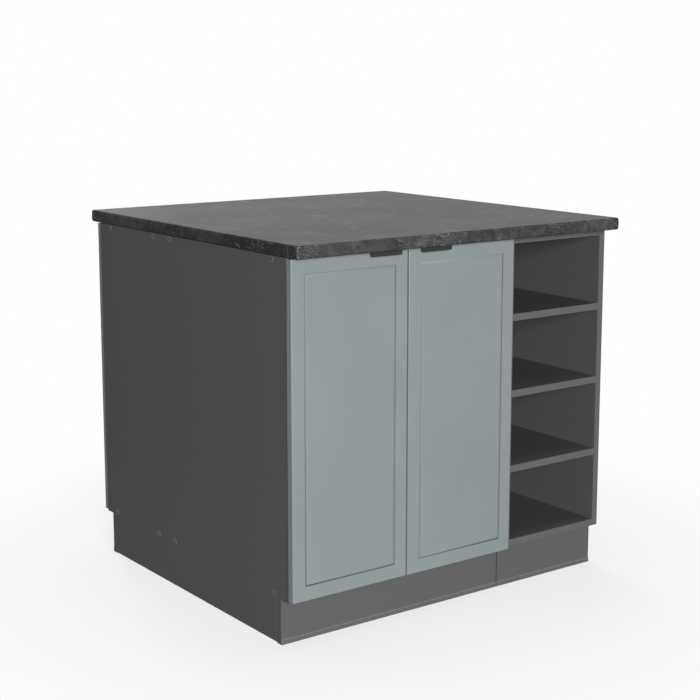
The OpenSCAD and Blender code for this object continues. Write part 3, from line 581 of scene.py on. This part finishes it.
def markCreaseShade(bm, box):
    # one value of painted shade to a face, read by the film's material
    c = creaseSetup
    (lowX, _, lowZ), (highX, _, highZ) = ([v * 1000 for v in corner] for corner in box)
    shade = bm.faces.layers.float.new("shade")
    for face in bm.faces:
        x, y, z = face.calc_center_median() * 1000
        depth = c["frontMm"] - abs(y)
        left, right = (x - lowX, highX - x) if y < 0 else (highX - x, x - lowX)
        nearest, side = min((left, "left"), (right, "right"), (z - lowZ, "bottom"), (highZ - z, "top"))
        if c["frameMm"][0] < nearest < c["frameMm"][1]:
            dark, start, full = c[side]
            face[shade] = dark * min(max((depth - start) / (full - start), 0), 1)


# the laminate is bent round the worktop's edges in a fuller curve than the solid's, all in millimetres
worktopSetup = {
    "solidRadius": 3.0, "edgeRadius": 5.5, "cornerRadius": 6.0, "segments": 6,
    "sharpDegrees": 60,
    "reach": 10.0,   # an edge that rises more than this is upright; one nearer a corner belongs to it
}


def roundWorktop(bm, box):
    # the solid's rounding is cut away, its sides are set back out to the box, and the edges are rounded anew
    s, m = worktopSetup, meshSetup
    reach = s["reach"] / 1000
    bmesh.ops.remove_doubles(bm, verts=bm.verts, dist=m["joined"])
    for axis in (0, 1):
        for corner, outward in zip(box, (-1, 1)):
            place, normal = Vector(), Vector()
            place[axis] = corner[axis] - outward * s["solidRadius"] / 1000
            normal[axis] = outward
            cut = bmesh.ops.bisect_plane(bm, geom=bm.verts[:] + bm.edges[:] + bm.faces[:], dist=m["onCut"],
                                         plane_co=place, plane_no=normal, clear_outer=True)["geom_cut"]
            bmesh.ops.holes_fill(bm, edges=[e for e in cut if isinstance(e, bmesh.types.BMEdge)], sides=0)
            for vert in bm.verts:
                if abs(vert.co[axis] - place[axis]) < m["onPlane"]:
                    vert.co[axis] = corner[axis]
    bmesh.ops.dissolve_limit(bm, angle_limit=math.radians(m["flat"]), verts=bm.verts, edges=bm.edges)

    def outerEdges(upright):
        for edge in bm.edges:
            a, b = (v.co for v in edge.verts)
            onSide = any(all(abs(abs(end[i]) - box[1][i]) < m["onSide"] for end in (a, b)) for i in (0, 1))
            atCorner = all(min(abs(a[i]), abs(b[i])) > box[1][i] - reach for i in (0, 1))
            isSharp = edge.calc_face_angle(0) > math.radians(s["sharpDegrees"])
            if isSharp and (abs(a.z - b.z) > reach) == upright and (onSide or atCorner):
                yield edge

    for upright, radius in ((True, s["cornerRadius"]), (False, s["edgeRadius"])):
        bmesh.ops.bevel(bm, geom=list(outerEdges(upright)), offset=radius / 1000, offset_type="OFFSET",
                        affect="EDGES", segments=s["segments"], profile=0.5, material=-1, clamp_overlap=False)


# narrow strips of board that lie in shadow: the edging beside a door, and the ends of plinths that meet
shadowSetup = {
    "dark": 1.0, "outerX": 0.45, "stripX": 0.0026, "edgingY": 0.3994, "endX": 0.0008,
    "inside": 0.01,   # a plinth's end this far in from the outer sides meets another plinth
}


def shadowMarker(name, box):
    # gives the function that marks a board's shaded faces, or nothing where it has none
    c = shadowSetup
    ends = (box[0][0], box[1][0])
    outerEnds = [x for x in ends if abs(x) > c["outerX"] - meshSetup["onSide"]]
    if name.endswith("_side") and outerEnds and not name.startswith("open"):
        strips = [(x, c["stripX"]) for x in outerEnds]
        fromY = c["edgingY"]
    elif name.endswith("_plinth"):
        strips = [(x, c["endX"]) for x in ends if abs(x) < c["outerX"] - c["inside"]]
        fromY = 0.0
    else:
        return None

    def mark(bm):
        for x, wide in strips:
            inner = x + (wide if x == ends[0] else -wide)
            bmesh.ops.bisect_plane(bm, geom=bm.verts[:] + bm.edges[:] + bm.faces[:], dist=meshSetup["onCut"],
                                   plane_co=(inner, 0, 0), plane_no=(1, 0, 0))
        shade = bm.faces.layers.float.new("shade")
        for face in bm.faces:
            centre = face.calc_center_median()
            inStrip = any(abs(centre.x - x) < wide for x, wide in strips)
            face[shade] = c["dark"] * (inStrip and abs(centre.y) > fromY)
    return mark


for name, node in cadNodes.items():
    slot = slotOfNode[name]
    bm = bmesh.new()
    bm.from_mesh(node.data)
    if slot == "door":
        markCreaseShade(bm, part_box(name))
    elif slot == "worktop":
        roundWorktop(bm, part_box(name))
    mesh = finishMesh(bm, name + "_finished", meshSetup["ease"][slot], shadowMarker(name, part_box(name)))
    addPiece(name + "_finished", mesh, bodyOfNode[name], slot, (name,))
print("CAD nodes finished:", len(cadNodes))


def spinProfile(bm, profile, place, axis, segments):
    # turns (radius, height) pairs in millimetres round an axis that stands on place
    axis = Vector(axis)
    sideways = axis.orthogonal().normalized()
    verts = [bm.verts.new(Vector(place) + (sideways * r + axis * h) / 1000) for r, h in profile]
    edges = [bm.edges.new(pair) for pair in zip(verts, verts[1:])]
    bmesh.ops.spin(bm, geom=verts + edges, cent=place, axis=axis, angle=math.tau, steps=segments,
                   use_merge=True)


def closeMesh(bm, name):
    bmesh.ops.remove_doubles(bm, verts=bm.verts, dist=meshSetup["welded"])
    bmesh.ops.recalc_face_normals(bm, faces=bm.faces)
    return meshOf(bm, name, meshSetup["sharpWhereRound"])


# colour-matched caps over the screw heads in the outer sides: a raised rim round a dished middle
screwCapSetup = {
    # out from the axis and up from the board, in millimetres; the other sizes are in metres
    "profile": ((0.0, 0.15), (4.6, 0.15), (5.4, 0.55), (6.6, 0.65), (7.2, 0.45), (7.4, 0.0), (0.0, 0.0)),
    "segments": 32, "headApart": 0.012, "dishRadius": 0.0048,
}


def outerScrewHeads():
    # a head's rim lies on the outer face of a side, so its middle is the middle of that rim
    verts = cadNodes["connecting_screws"].data.vertices
    outermost = max(abs(v.co.x) for v in verts)
    rims = []
    for co in (v.co for v in verts if abs(v.co.x) > outermost - meshSetup["onPlane"]):
        near = [rim for rim in rims if (rim[0] - co).length < screwCapSetup["headApart"]]
        if near:
            near[0].append(co)
        else:
            rims.append([co])
    return [Vector([(min(c[i] for c in rim) + max(c[i] for c in rim)) / 2 for i in range(3)]) for rim in rims]


def makeScrewCaps():
    s = screwCapSetup
    bm = bmesh.new()
    heads = outerScrewHeads()
    for place in heads:
        spinProfile(bm, s["profile"], place, (math.copysign(1, place.x), 0, 0), s["segments"])
    # the dished middle of each cap is marked for its painted shade
    shade = bm.faces.layers.float.new("shade")
    for face in bm.faces:
        centre = face.calc_center_median()
        face[shade] = float(min((centre - place).length for place in heads) < s["dishRadius"])
    addPiece("screw_caps", closeMesh(bm, "screw_caps"), "island", "carcass", finish="caps")
    print("screw caps made")


# soft bumpers on the backs of the doors, in their free corners
bumperSetup = {
    # out from the axis and up from the door, in millimetres; the other sizes are in metres
    "profile": ((0.0, 1.7), (1.4, 1.6), (2.7, 1.25), (3.6, 0.6), (4.0, 0.0), (0.0, 0.0)),
    "segments": 24, "fromEdge": 0.012, "fromEnd": 0.008, "behind": 0.402,
}


def makeDoorBumpers():
    s = bumperSetup
    for door in [name for name in cadNodes if name.endswith("_door")]:
        low, high = (Vector(corner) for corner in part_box(door))
        pullLow, pullHigh = (Vector(corner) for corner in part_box(door.replace("_door", "_pull")))
        freeRight = pullLow.x + pullHigh.x > low.x + high.x
        inward = 1 if low.y < 0 else -1
        x = high.x - s["fromEdge"] if freeRight else low.x + s["fromEdge"]
        bm = bmesh.new()
        for z in (low.z + s["fromEnd"], high.z - s["fromEnd"]):
            spinProfile(bm, s["profile"], (x, -inward * s["behind"], z), (0, inward, 0), s["segments"])
        addPiece(door + "_bumpers", closeMesh(bm, door + "_bumpers"), door, "glide", finish="bumpers")
    print("door bumpers made")


# vinyl seals pushed on the feet of the plinths: a soft bead above a clip that ends in a lip on the floor
plinthSealSetup = {
    # out from the board's face and up from the floor, in millimetres
    "profile": ((0.0, 0.0), (2.2, 0.0), (2.1, 0.7), (1.3, 2.4), (1.1, 6.8), (0.5, 7.5), (0.5, 8.1),
                (1.1, 8.6), (1.7, 9.6), (1.6, 10.8), (1.0, 11.6), (0.0, 11.8)),
}


def makePlinthSeals():
    bm = bmesh.new()
    for plinth in [name for name in cadNodes if name.endswith("_plinth")]:
        low, high = (Vector(corner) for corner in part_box(plinth))
        face, outward = (low.y, -1) if low.y < 0 else (high.y, 1)
        section = bm.faces.new([bm.verts.new((low.x, face + outward * out / 1000, up / 1000))
                                for out, up in plinthSealSetup["profile"]])
        grown = bmesh.ops.extrude_face_region(bm, geom=[section], use_keep_orig=True)["geom"]
        bmesh.ops.translate(bm, verts=[v for v in grown if isinstance(v, bmesh.types.BMVert)],
                            vec=(high.x - low.x, 0, 0))
    addPiece("plinth_seals", closeMesh(bm, "plinth_seals"), "island", "glide", finish="seals")
    print("plinth seals made")


makeScrewCaps()
makeDoorBumpers()
makePlinthSeals()
